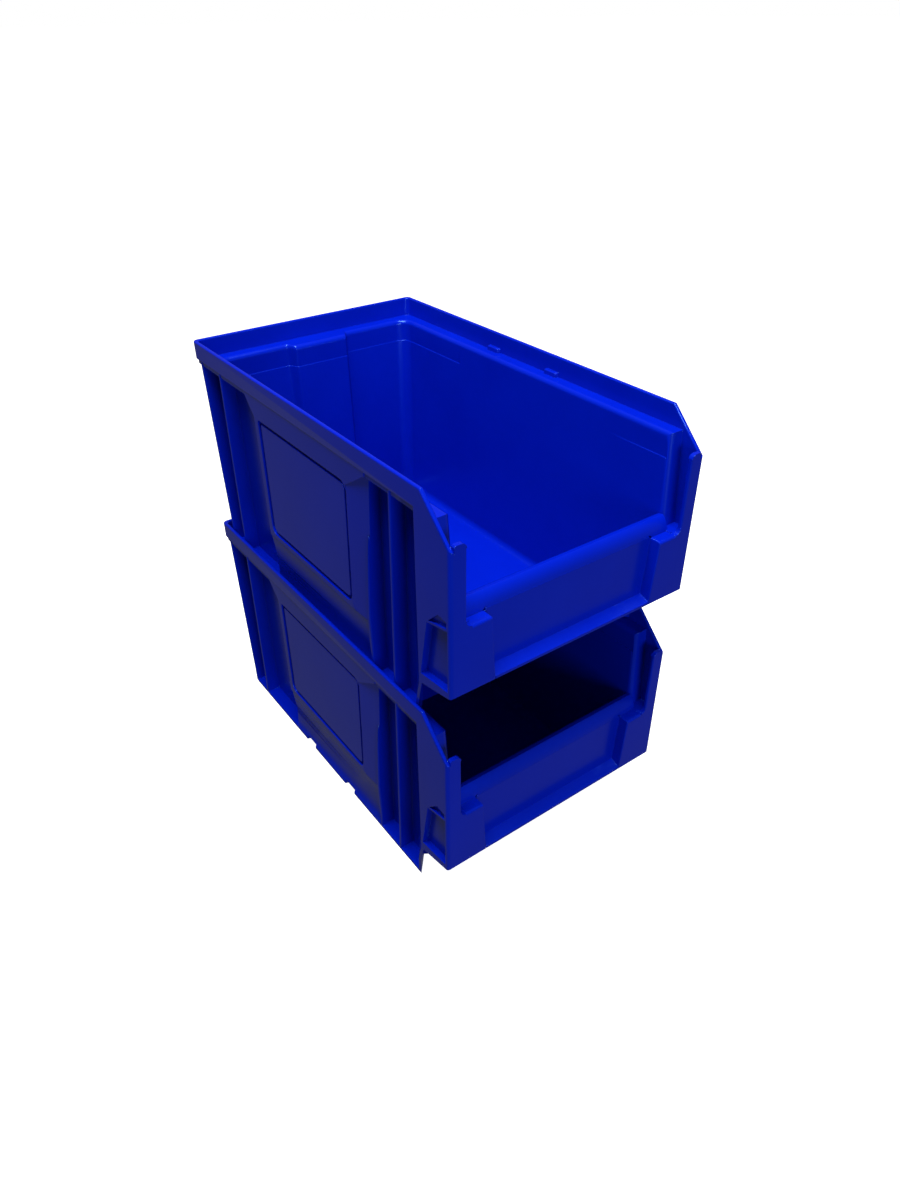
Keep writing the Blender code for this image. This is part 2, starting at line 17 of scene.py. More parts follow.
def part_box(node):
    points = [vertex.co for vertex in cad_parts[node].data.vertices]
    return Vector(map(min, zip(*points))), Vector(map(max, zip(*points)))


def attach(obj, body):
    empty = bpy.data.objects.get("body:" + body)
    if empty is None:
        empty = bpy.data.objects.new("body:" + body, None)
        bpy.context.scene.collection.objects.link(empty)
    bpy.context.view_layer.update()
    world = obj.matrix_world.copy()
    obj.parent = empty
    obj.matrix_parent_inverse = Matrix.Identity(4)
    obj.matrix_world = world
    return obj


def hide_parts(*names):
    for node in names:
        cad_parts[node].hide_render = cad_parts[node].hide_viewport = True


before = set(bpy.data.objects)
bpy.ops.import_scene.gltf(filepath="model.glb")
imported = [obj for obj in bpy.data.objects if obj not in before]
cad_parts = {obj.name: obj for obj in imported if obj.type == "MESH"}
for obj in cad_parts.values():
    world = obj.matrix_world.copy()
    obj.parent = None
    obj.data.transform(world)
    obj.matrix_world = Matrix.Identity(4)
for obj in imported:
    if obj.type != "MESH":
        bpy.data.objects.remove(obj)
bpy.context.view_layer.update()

LOG = logging.getLogger("storage_bins")
MM = 0.001
PAST = 1.0 * MM               # how far a cutter runs past what it cuts
NEAR = 0.02 * MM              # small overlap that keeps two faces out of one plane
SAME_PLACE = 0.002 * MM       # points closer than this are merged after the cuts
ARC_STEPS = 8                 # straight pieces that stand for a curve
EDGE_STEPS = 5                # faces across a rounded outside edge
SMALL_STEPS = 3               # faces across a small rounding
UPRIGHT_SHARE = 0.8           # an edge that rises more than this share of its length is upright
MOST_TRIES = 8
NUDGE = Vector((0.004, 0.003, 0.002)) * MM

Point = tuple[float, float]
Ring = list[Vector]
EdgeTest = Callable[[bmesh.types.BMEdge], bool]


class Cut(Enum):
    """How one solid changes another."""

    JOIN = "UNION"
    REMOVE = "DIFFERENCE"


# ---------------------------------------------------------------- shaping


def arc(centre: Point, radius: float, start: float, end: float,
        steps: int = ARC_STEPS) -> list[Point]:
    """Points on an arc.

    Args:
        centre: Centre of the arc.
        radius: Its radius.
        start: First angle in degrees.
        end: Last angle in degrees.
        steps: Straight pieces that stand for the curve.

    Returns:
        The points from the first angle to the last.
    """
    angles = [math.radians(start + (end - start) * i / steps) for i in range(steps + 1)]
    return [(centre[0] + radius * math.cos(a), centre[1] + radius * math.sin(a)) for a in angles]


def level(outline: Iterable[Point], z: float) -> Ring:
    """Lays a plan outline of (x, y) points at a height."""
    return [Vector((x, y, z)) for x, y in outline]


class Solid:
    """A closed solid, shaped with mesh operators before it joins or cuts another one."""

    def __init__(self, name: str, mesh: bmesh.types.BMesh) -> None:
        """Keeps the solid's name and its working mesh."""
        self.name = name
        self.mesh = mesh

    @classmethod
    def through(cls, name: str, rings: Sequence[Ring]) -> "Solid":
        """Fills the first ring and extrudes it through the others.

        Args:
            name: Name of the solid.
            rings: Outlines with the same number of points, one after another.

        Returns:
            The closed solid.
        """
        mesh = bmesh.new()
        face = mesh.faces.new([mesh.verts.new(point) for point in rings[0]])
        for step, ring in enumerate(rings[1:]):
            grown = bmesh.ops.extrude_face_region(mesh, geom=[face])
            if step:
                bmesh.ops.delete(mesh, geom=[face], context="FACES_ONLY")
            face = next(item for item in grown["geom"] if isinstance(item, bmesh.types.BMFace))
            for vert, point in zip(face.verts, ring):
                vert.co = point
        bmesh.ops.recalc_face_normals(mesh, faces=mesh.faces)
        return cls(name, mesh)

    @classmethod
    def upright(cls, name: str, outline: Sequence[Point], low: float, high: float) -> "Solid":
        """Prism on a plan outline of (x, y) points, between two heights."""
        return cls.through(name, [level(outline, low), level(outline, high)])

    @classmethod
    def across(cls, name: str, profile: Sequence[Point], left: float, right: float) -> "Solid":
        """Prism along x on a side profile of (y, z) points, between two widths."""
        return cls.through(name, [[Vector((x, y, z)) for y, z in profile] for x in (left, right)])

    @classmethod
    def edge_cutter(cls, start: Vector, end: Vector, first: Vector, second: Vector,
                    radius: float) -> "Solid":
        """Cutter that rounds off a straight outside edge.

        Args:
            start: One end of the edge.
            end: Its other end.
            first: Direction across one face, away from the edge.
            second: Direction across the other face, away from the edge.
            radius: Radius of the rounding.

        Returns:
            A prism with a hollow, round inner side.
        """
        first, second = first.normalized(), second.normalized()
        half_angle = first.angle(second) / 2
        inward = (first + second).normalized()
        centre = inward * (radius / math.sin(half_angle))
        begin = first * (radius / math.tan(half_angle)) - centre
        finish = second * (radius / math.tan(half_angle)) - centre
        section = [centre + begin.lerp(finish, i / EDGE_STEPS).normalized() * radius
                   for i in range(EDGE_STEPS + 1)]
        section[0] -= inward * NEAR
        section[-1] -= inward * NEAR
        section += [section[-1] - inward * PAST, -inward * 2 * PAST, section[0] - inward * PAST]
        return cls.through("edge", [[place + point for point in section] for place in (start, end)])

    def rounded(self, width: float, choose: EdgeTest, segments: int = SMALL_STEPS) -> "Solid":
        """Rounds some of the solid's edges.

        Args:
            width: Distance from the old edge to where the rounding starts.
            choose: Says which edges are rounded.
            segments: Faces across the rounding.

        Returns:
            The same solid.
        """
        edges = [edge for edge in self.mesh.edges if choose(edge)]
        bmesh.ops.bevel(self.mesh, geom=edges, offset=width, offset_type="OFFSET", affect="EDGES",
                        segments=segments, profile=0.5, material=-1, clamp_overlap=True)
        return self

    def mirrored(self) -> "Solid":
        """Mirrors the solid.

        Returns:
            The same solid on the other side of the bin.
        """
        mesh = self.mesh.copy()
        bmesh.ops.scale(mesh, vec=(-1, 1, 1), verts=mesh.verts)
        bmesh.ops.reverse_faces(mesh, faces=mesh.faces)
        return Solid(self.name + "_mirror", mesh)

    def placed(self) -> bpy.types.Object:
        """Turns the solid into an object with flat triangles and frees its working mesh.

        Returns:
            The new object.
        """
        bmesh.ops.triangulate(self.mesh, faces=self.mesh.faces)
        data = bpy.data.meshes.new(self.name)
        self.mesh.to_mesh(data)
        self.mesh.free()
        piece = bpy.data.objects.new(self.name, data)
        bpy.context.scene.collection.objects.link(piece)
        return piece


def both_sides(solids: Iterable[Solid]) -> list[Solid]:
    """Returns right-hand solids together with their left-hand twins."""
    solids = list(solids)
    return solids + [solid.mirrored() for solid in solids]


def welded(data: bpy.types.Mesh) -> bool:
    """Merges the points of a mesh that lie in one place.

    Args:
        data: The mesh, changed in place.

    Returns:
        True when it has no hole and no inner face afterwards.
    """
    mesh = bmesh.new()
    mesh.from_mesh(data)
    bmesh.ops.remove_doubles(mesh, verts=mesh.verts, dist=SAME_PLACE)
    bmesh.ops.dissolve_degenerate(mesh, edges=mesh.edges, dist=SAME_PLACE)
    whole = bool(mesh.faces) and all(edge.is_manifold and edge.is_contiguous for edge in mesh.edges)
    mesh.to_mesh(data)
    mesh.free()
    return whole


def combine(target: bpy.types.Object, solids: Iterable[Solid], cut: Cut) -> None:
    """Joins solids to an object or removes them from it, one after another.

    Faces that lie almost in one plane can leave a hole. A solid that does this is moved by a
    few micrometres and tried again.

    Args:
        target: Object that is changed.
        solids: What joins it or cuts it. They are used up.
        cut: Whether they are joined or removed.

    Raises:
        RuntimeError: A solid leaves a hole wherever it is moved.
    """
    for solid in solids:
        tool = solid.placed()
        modifier = target.modifiers.new(tool.name, "BOOLEAN")
        modifier.operation = cut.value
        modifier.solver = "EXACT"
        modifier.object = tool
        for attempt in range(MOST_TRIES):
            tool.location = NUDGE * (attempt % 2 * 2 - 1) * attempt
            shape = target.evaluated_get(bpy.context.evaluated_depsgraph_get())
            data = bpy.data.meshes.new_from_object(shape)
            if welded(data):
                break
        else:
            raise RuntimeError(f"{solid.name} doesn't combine cleanly")
        target.modifiers.clear()
        target.data = data
        bpy.data.objects.remove(tool)


def upright_edge(edge: bmesh.types.BMEdge) -> bool:
    """Says whether an edge runs mostly up and down."""
    run = edge.verts[1].co - edge.verts[0].co
    return abs(run.z) > UPRIGHT_SHARE * run.length


# ---------------------------------------------------------------- the moulding


@dataclass(frozen=True)
class Envelope:
    """Overall size of a bin and the sizes that its parts share, in metres."""

    width: float
    length: float
    height: float
    wall: float = 2.0 * MM
    floor: float = 3.0 * MM
    floor_radius: float = 4.0 * MM
    lip: float = 2.2 * MM
    draft: float = 3.0 * MM
    corner_radius: float = 7.0 * MM
    rim_radius: float = 3.0 * MM
    nest_depth: float = 10.8 * MM
    ledge_width: float = 7.8 * MM
    ledge_round: float = 2.5 * MM
    clearance: float = 0.3 * MM
    flange: float = 2.0 * MM
    rim_drop: float = 10.3 * MM
    channel_width: float = 42.0 * MM
    channel_depth: float = 5.5 * MM
    channel_slope: float = 4.5 * MM
    front_wall: float = 2.4 * MM
    label_recess: float = 6.3 * MM
    front_bottom: float = 34.7 * MM
    base_front: float = 41.0 * MM

    @property
    def half(self) -> float:
        """Half the width over the rim."""
        return self.width / 2

    @property
    def ledge(self) -> float:
        """Height of the ledge that carries the next bin."""
        return self.height - self.nest_depth

    @property
    def rim_edge(self) -> float:
        """Height of the lower edge of the rim's outer face."""
        return self.height - self.rim_drop

    @property
    def lip_inside(self) -> float:
        """Half the width between the inner faces of the lip."""
        return self.half - self.lip

    @property
    def flange_half(self) -> float:
        """Half the width of the base flange."""
        return self.lip_inside - self.clearance

    @property
    def nested(self) -> float:
        """Height of the foot that goes inside the rim below."""
        return self.nest_depth + self.clearance

    @property
    def root(self) -> float:
        """How far out ribs start, inside the thickness of the wall."""
        return self.inside_half(0.0) + self.wall / 2

    def lean(self, z: float) -> float:
        """How far a wall leans in at a height, measured from the ledge."""
        return self.draft * (self.ledge - z) / (self.ledge - self.floor)

    def inside_half(self, z: float) -> float:
        """Half the width between the inner walls at a height."""
        return self.lip_inside - self.ledge_width - self.lean(z)

    def inside_back(self, z: float) -> float:
        """Distance from the front face to the inner back wall at a height."""
        return self.length - self.lip - self.ledge_width - self.lean(z)

    def plan(self, half: float, front: float, back: float, radius: float,
             channel: float = 0.0) -> list[Point]:
        """Plan outline of a bin, square in front and rounded at the back.

        Args:
            half: Half its width.
            front: Where it starts behind the front face.
            back: Where it ends.
            radius: Radius of the two back corners.
            channel: Depth of the channel in the middle of the back, or 0 for none.

        Returns:
            The outline's (x, y) points.
        """
        right = arc((half - radius, back - radius), radius, 0, 90)
        middle = []
        if channel:
            turns = [math.pi * i / EDGE_STEPS for i in range(EDGE_STEPS + 1)]
            middle = [(self.channel_width / 2 - self.channel_slope * turn / math.pi,
                       back - channel * (1 - math.cos(turn)) / 2) for turn in turns]
            middle += [(-x, y) for x, y in reversed(middle)]
        left = [(-x, y) for x, y in reversed(right)]
        return [(half, front)] + right + middle + left + [(-half, front)]


@dataclass(frozen=True)
class Tub:
    """Walls and floor that hold the goods."""

    size: Envelope
    step_height: float = 106.5 * MM    # fine parting step round the inside of the wall
    step_depth: float = 0.45 * MM
    step_back_run: float = 70.0 * MM   # its length forward from the back corners
    step_front: float = 14.0 * MM      # and its front stretch on each side
    step_front_run: float = 42.0 * MM

    def shell(self, top: float) -> Solid:
        """Outside of the walls up to the curve under the rim.

        Args:
            top: Height where that curve starts.

        Returns:
            The full block of the tub, not yet hollow.
        """
        s = self.size
        rings = [level(s.plan(s.inside_half(z) + s.wall, s.label_recess, s.inside_back(z) + s.wall,
                              s.corner_radius + s.wall, s.channel_depth), z)
                 for z in (s.flange / 2, top)]
        return Solid.through("tub", rings)

    def underside(self) -> Solid:
        """Cutter for the slope between the base and the front face.

        Returns:
            The cutter.
        """
        s = self.size
        reach = s.inside_half(0.0) + s.wall + PAST
        return Solid.across("underside", [
            (-PAST, -PAST), (s.base_front, -PAST), (s.base_front, 0.0),
            (s.label_recess + s.wall, s.front_bottom - s.wall / 2),
            (-PAST, s.front_bottom - s.wall / 2)], -reach, reach)

    def scoop(self) -> Solid:
        """Sloped plate between the floor and the front wall.

        Returns:
            The plate.
        """
        s = self.size
        back = s.label_recess + s.front_wall
        reach = s.root - s.wall / 4
        return Solid.across("scoop", [
            (s.base_front + 2 * s.wall, 0.0), (s.base_front, 0.0),
            (s.label_recess + s.wall, s.front_bottom), (s.label_recess, s.front_bottom + 2 * s.wall),
            (back, s.front_bottom + 2 * s.wall), (s.base_front + s.wall, s.floor)], -reach, reach)

    def cavity(self) -> Solid:
        """Space for the goods, rounded at the floor and flared over the ledge.

        Returns:
            The cutter.
        """
        s = self.size
        front = s.label_recess + s.front_wall
        rings = []
        for i in range(ARC_STEPS + 1):
            angle = math.pi / 2 * i / ARC_STEPS
            z = s.floor + s.floor_radius * (1 - math.cos(angle))
            shrink = s.floor_radius * (1 - math.sin(angle))
            rings.append(level(s.plan(s.inside_half(z) - shrink, front, s.inside_back(z) - shrink,
                                      s.corner_radius - shrink, s.channel_depth), z))
        for i in range(ARC_STEPS + 1):
            angle = math.pi / 2 * i / ARC_STEPS
            z = s.ledge - s.ledge_round * (1 - math.sin(angle))
            flare = s.ledge_round * (1 - math.cos(angle))
            rings.append(level(s.plan(s.inside_half(z) + flare, front, s.inside_back(z) + flare,
                                      s.corner_radius + flare, s.channel_depth), z))
        rings.append([point + Vector((0.0, 0.0, PAST)) for point in rings[-1]])
        return Solid.through("cavity", rings)

    def wall_steps(self) -> list[Solid]:
        """Cutters for the fine step round the upper inside of the wall, behind and in front.

        Returns:
            The two cutters.
        """
        s = self.size
        top = s.ledge - s.ledge_round
        found = []
        for name, front, back in (("step_back", s.length - self.step_back_run, None),
                                  ("step_front", self.step_front, self.step_front + self.step_front_run)):
            rings = []
            for z, depth in ((self.step_height, self.step_depth), (top, -NEAR)):
                half = s.inside_half(z) + depth
                if back is None:
                    outline = s.plan(half, front, s.inside_back(z) + depth, s.corner_radius + depth,
                                     s.channel_depth)
                else:
                    fade = s.inside_half(z) - NEAR
                    outline = [(half, front), (fade, back), (-fade, back), (-half, front)]
                rings.append(level(outline, z))
            found.append(Solid.through(name, rings))
        return found


@dataclass(frozen=True)
class Rim:
    """Upstanding lip, the ledge inside it and the curve under both."""

    size: Envelope
    step: float = 0.8 * MM             # square step under the lip
    ledge_sheet: float = 1.8 * MM
    cove: float = 5.5 * MM             # drop of the curve back to the wall
    chamfer_length: float = 20.4 * MM
    chamfer_height: float = 20.3 * MM
    notch_count: int = 2               # on each side
    notch_pitch: float = 50.0 * MM
    notch_front: float = 110.0 * MM
    notch_length: float = 10.0 * MM
    notch_depth: float = 2.4 * MM
    bump_height: float = 2.6 * MM
    stack_shift: float = 3.9 * MM      # the next bin sits this far forward
    top_round: float = 0.85 * MM       # both edges along the top of the lip
    top_steps: int = 4                 # faces across that rounding
    foot_round: float = 0.5 * MM
    bump_round: float = 0.7 * MM

    @property
    def foot(self) -> float:
        """Height where the curve under the ledge meets the wall."""
        return self.size.ledge - self.ledge_sheet - self.cove

    def solids(self) -> list[Solid]:
        """Curve under the ledge and the block of the lip.

        Returns:
            Both solids.
        """
        s = self.size
        low_half = s.inside_half(self.foot) + s.wall
        low_back = s.inside_back(self.foot) + s.wall
        rings = []
        steps = ARC_STEPS // 2
        for i in range(steps + 1):
            share = math.sin(math.pi / 2 * i / steps)
            reach = 1 - math.cos(math.pi / 2 * i / steps)
            channel = s.channel_depth - (s.channel_depth - self.step / 2) * reach
            rings.append(level(s.plan(low_half + (s.half - self.step - low_half) * reach, s.label_recess,
                                      low_back + (s.length - self.step - low_back) * reach,
                                      s.rim_radius + s.corner_radius * (1 - reach), channel),
                               self.foot + self.cove * share))
        rings.append([Vector((p.x, p.y, s.rim_edge + PAST)) for p in rings[-1]])
        lip = Solid.upright("lip", s.plan(s.half, 0.0, s.length, s.rim_radius), s.rim_edge, s.height)
        lip.rounded(self.top_round, lambda edge: all(v.co.z > s.height - NEAR for v in edge.verts),
                    self.top_steps)
        lip.rounded(self.foot_round, lambda edge: all(v.co.z < s.rim_edge + NEAR for v in edge.verts))
        return [Solid.through("cove", rings), lip]

    def pocket(self) -> Solid:
        """Space above the ledge, inside the lip, flared to round the lip's inner edge.

        Returns:
            The cutter.
        """
        s = self.size
        rings = [level(s.plan(s.lip_inside, -PAST, s.length - s.lip, s.rim_radius), s.ledge)]
        for i in range(EDGE_STEPS + 1):
            angle = math.pi / 2 * i / EDGE_STEPS
            flare = self.top_round * (1 - math.cos(angle))
            rings.append(level(s.plan(s.lip_inside + flare, -PAST, s.length - s.lip + flare, s.rim_radius),
                               s.height - self.top_round * (1 - math.sin(angle))))
        rings.append([point + Vector((0.0, 0.0, PAST)) for point in rings[-1]])
        return Solid.through("pocket", rings)

    def chamfer(self) -> Solid:
        """Cutter for the sloped front end of the lip, with both of its edges rounded.

        Returns:
            The right-hand cutter.
        """
        s = self.size
        r = self.top_round
        along = Vector((0.0, self.chamfer_length, self.chamfer_height)).normalized()
        up = Vector((0.0, -along.z, along.y))
        start = Vector((0.0, 0.0, s.height - self.chamfer_height)) - along * self.chamfer_height / 4
        end = Vector((0.0, self.chamfer_length, s.height)) + along * self.chamfer_height / 4
        section = [(s.half - r + r * math.sin(a), r * math.cos(a) - r)
                   for a in (math.pi / 2 * i / EDGE_STEPS for i in range(EDGE_STEPS + 1))]
        left = [(2 * s.half - s.lip - x, n) for x, n in section]
        section[-1] = (s.half + NEAR, -r)
        left[-1] = (s.lip_inside - NEAR, -r)
        outline = [(s.lip_inside - NEAR, self.chamfer_height), *reversed(left), *section,
                   (s.half + PAST, -r), (s.half + PAST, self.chamfer_height)]
        return Solid.through("chamfer", [[Vector((x, 0.0, 0.0)) + up * n + place for x, n in outline]
                                         for place in (start, end)])

    def bumps(self) -> list[Solid]:
        """Bumps in the corner of the ledge that hold the next bin in place.

        Returns:
            The right-hand bumps.
        """
        s = self.size
        depth = self.notch_depth - s.clearance
        reach = self.notch_length / 2 - 2 * s.clearance
        found = []
        for i in range(self.notch_count):
            y = self.notch_front + i * self.notch_pitch - self.stack_shift
            outline = [(s.lip_inside + s.lip / 2, y - reach - depth / 2),
                       (s.lip_inside - depth, y - reach), (s.lip_inside - depth, y + reach),
                       (s.lip_inside + s.lip / 2, y + reach + depth / 2)]
            bump = Solid.upright("bump", outline, s.ledge - s.wall / 2, s.ledge + self.bump_height)
            found.append(bump.rounded(self.bump_round, lambda edge: not upright_edge(edge)
                                      and all(v.co.z > s.ledge for v in edge.verts)))
        return found

    def notches(self) -> list[Solid]:
        """Notches in the edge of the base that drop over such bumps.

        Returns:
            Cutters for the right-hand notches.
        """
        s = self.size
        reach = self.notch_length / 2
        slope = self.notch_depth / 2
        found = []
        for i in range(self.notch_count):
            y = self.notch_front + i * self.notch_pitch
            bottom = s.flange_half - self.notch_depth
            outline = [(s.flange_half + PAST, y - reach - slope), (bottom, y - reach),
                       (bottom, y + reach), (s.flange_half + PAST, y + reach + slope)]
            found.append(Solid.upright("notch", outline, -PAST, self.bump_height + 2 * s.clearance))
        return found


@dataclass(frozen=True)
class Side:
    """Ribs and raised panel on the outside of a long wall."""

    size: Envelope
    rib: float = 1.8 * MM
    rib_round: float = 0.5 * MM
    front_rib: float = 51.0 * MM
    back_rib: float = 26.0 * MM
    corner_rib: float = 9.0 * MM
    rib_lean: float = 8.0 * MM
    panel_front: float = 71.5 * MM
    panel_back: float = 72.0 * MM
    panel_proud: float = 1.0 * MM
    panel_round: float = 0.8 * MM
    back_taper: float = 10.0 * MM
    back_slant: float = 15.0 * MM
    frame_slope: float = 1.5 * MM      # how far the frame falls away in front of the window
    window_sill: float = 39.0 * MM
    window_head: float = 12.5 * MM
    window_frame: float = 18.5 * MM
    window_lean: float = 2.5 * MM
    window_radius: float = 5.0 * MM
    groove_width: float = 2.2 * MM
    groove_depth: float = 2.0 * MM
    field_depth: float = 0.5 * MM
    cove_depth: float = 2.8 * MM       # curve under the panel's face, deepest near its foot
    cove_skew: float = 0.6             # less than 1 moves the deepest place down
    cove_stretch: float = 1.05         # more than 1 ends the curve before its top
    cove_steps: int = 12
    skin: float = 1.6 * MM
    core_inset: float = 2.4 * MM

    @property
    def face(self) -> float:
        """How far out the panel's face lies."""
        return self.size.half - self.panel_proud

    @property
    def window_top(self) -> float:
        """Height of the top of the window."""
        return self.size.rim_edge - self.window_head

    @property
    def back(self) -> float:
        """Distance from the front face to the back edge of the panel's face."""
        return self.size.length - self.panel_back

    def outer_corner(self, edge: bmesh.types.BMEdge) -> bool:
        """Says whether an edge is an upright one on the outside of the bin."""
        return upright_edge(edge) and min(v.co.x for v in edge.verts) > self.size.flange_half - NEAR

    def solids(self) -> list[Solid]:
        """Ribs and raised panel of the right-hand side.

        Returns:
            The three ribs and the panel.
        """
        s = self.size
        top = s.rim_edge + PAST
        levels = ((s.flange / 2, s.flange_half), (s.nested, s.flange_half), (top, s.half - s.clearance))
        found = []
        for name, foot in (("front_rib", self.front_rib), ("back_rib", s.length - self.back_rib)):
            rings = []
            for z, x in levels:
                y = foot - self.rib_lean * z / top
                rings.append(level([(s.root, y), (x, y), (x, y + self.rib), (s.root, y + self.rib)], z))
            found.append(Solid.through(name, rings).rounded(self.rib_round, self.outer_corner))

        y = s.length - self.corner_rib
        inner = s.root - s.corner_radius - s.wall
        wall = s.inside_back(0.0) + s.wall / 2
        corner = Solid.through("corner_rib", [
            level([(inner, wall), (s.root - s.wall, wall), (s.root + s.wall, y), (x, y),
                   (x, y + self.rib), (inner, y + self.rib)], z) for z, x in levels])
        found.append(corner.rounded(self.rib_round, self.outer_corner))

        rings = []
        for z, x, taper in ((s.flange / 2, s.flange_half, 0.0), (s.nested, s.flange_half, 0.0),
                            (self.window_sill, self.face, 0.0), (self.window_top, self.face, 0.0),
                            (top, s.half - s.clearance, self.back_taper)):
            front = self.panel_front - self.rib_lean * z / top
            rings.append(level([(s.root, front), (x, front), (x, self.back + taper),
                                (s.root, self.back + taper + self.back_slant)], z))
        found.append(Solid.through("panel", rings).rounded(self.panel_round, self.outer_corner))
        return found

    def window_outline(self, inset: float) -> list[Point]:
        """Rounded outline of the window in (y, z).

        Args:
            inset: How far the outline is drawn in.

        Returns:
            The outline's points.
        """
        lean = self.rib_lean * self.window_top / self.size.rim_edge
        head = self.panel_front - lean + self.window_frame + inset
        sill = head + self.window_lean
        back = self.back - 2 * self.groove_width - inset
        low, high, r = self.window_sill + inset, self.window_top - inset, self.window_radius - inset
        return (arc((sill + r, low + r), r, 180, 270) + arc((back - r, low + r), r, 270, 360)
                + arc((back - r / 3, high - r / 3), r / 3, 0, 90, SMALL_STEPS)
                + arc((head + r, high - r), r, 90, 180))

    def cutters(self) -> list[Solid]:
        """Cutters for the panel's window, its sloped frame and the curve under it.

        Returns:
            The three right-hand cutters.
        """
        s = self.size
        ring_outer = self.window_outline(0.0)
        ring_inner = self.window_outline(self.groove_width)
        groove = Solid.across("groove", ring_outer, self.face - self.groove_depth, s.half + PAST)
        field = Solid.across("field", ring_inner, self.face - 2 * self.groove_depth,
                             self.face - self.field_depth)
        cutter = groove.placed()
        combine(cutter, [field], Cut.REMOVE)
        ring = Solid("window", bmesh.new())
        ring.mesh.from_mesh(cutter.data)
        bpy.data.objects.remove(cutter)

        head = (ring_outer[-1][0], self.window_top - self.window_radius / 4)
        sill = (ring_outer[0][0], self.window_sill + self.window_radius / 4)
        corners = [head, (self.panel_front - self.rib_lean - PAST, s.rim_edge - PAST),
                   (self.panel_front + PAST, self.window_sill - self.window_frame), sill]
        widest = head[0]
        slope = self.frame_slope / (widest - self.panel_front + self.rib_lean)
        low = [Vector((self.face - slope * max(widest + self.window_lean - y, 0.0), y, z))
               for y, z in corners]
        high = [Vector((s.half + PAST, y, z)) for y, z in corners]
        frame_cut = Solid.through("frame_slope", [low, high])

        sill_low = self.window_sill - 2 * self.groove_depth
        profile = []
        for i in range(self.cove_steps + 1):
            share = i / self.cove_steps
            sag = math.sin(math.pi * min(1.0, share * self.cove_stretch) ** self.cove_skew)
            profile.append((s.flange_half - self.cove_depth * max(sag, 0.0),
                            s.flange + (sill_low - s.flange) * share))
        profile += [(s.half + PAST, sill_low + self.groove_depth), (s.half + PAST, s.flange)]
        cove = Solid.through("panel_cove", [
            [Vector((x, y, z)) for x, z in profile]
            for y in (self.panel_front + self.rib / 2, self.back + self.back_slant)])
        return [ring, frame_cut, cove]

    def hollow(self) -> Solid:
        """Core that thins the panel, open underneath.

        Returns:
            The right-hand cutter.
        """
        s = self.size
        high = self.window_top
        skin = s.flange_half - self.cove_depth - self.skin
        rings = []
        for z, outer in ((-PAST, skin), (self.window_sill, skin + self.cove_depth / 2),
                         (high, skin + self.cove_depth / 2)):
            inner = s.inside_half(z) + self.core_inset
            front, back = self.panel_front + self.skin, self.back - self.skin
            rings.append(level([(inner, front), (outer, front), (outer, back), (inner, back)], z))
        return Solid.through("panel_hollow", rings)


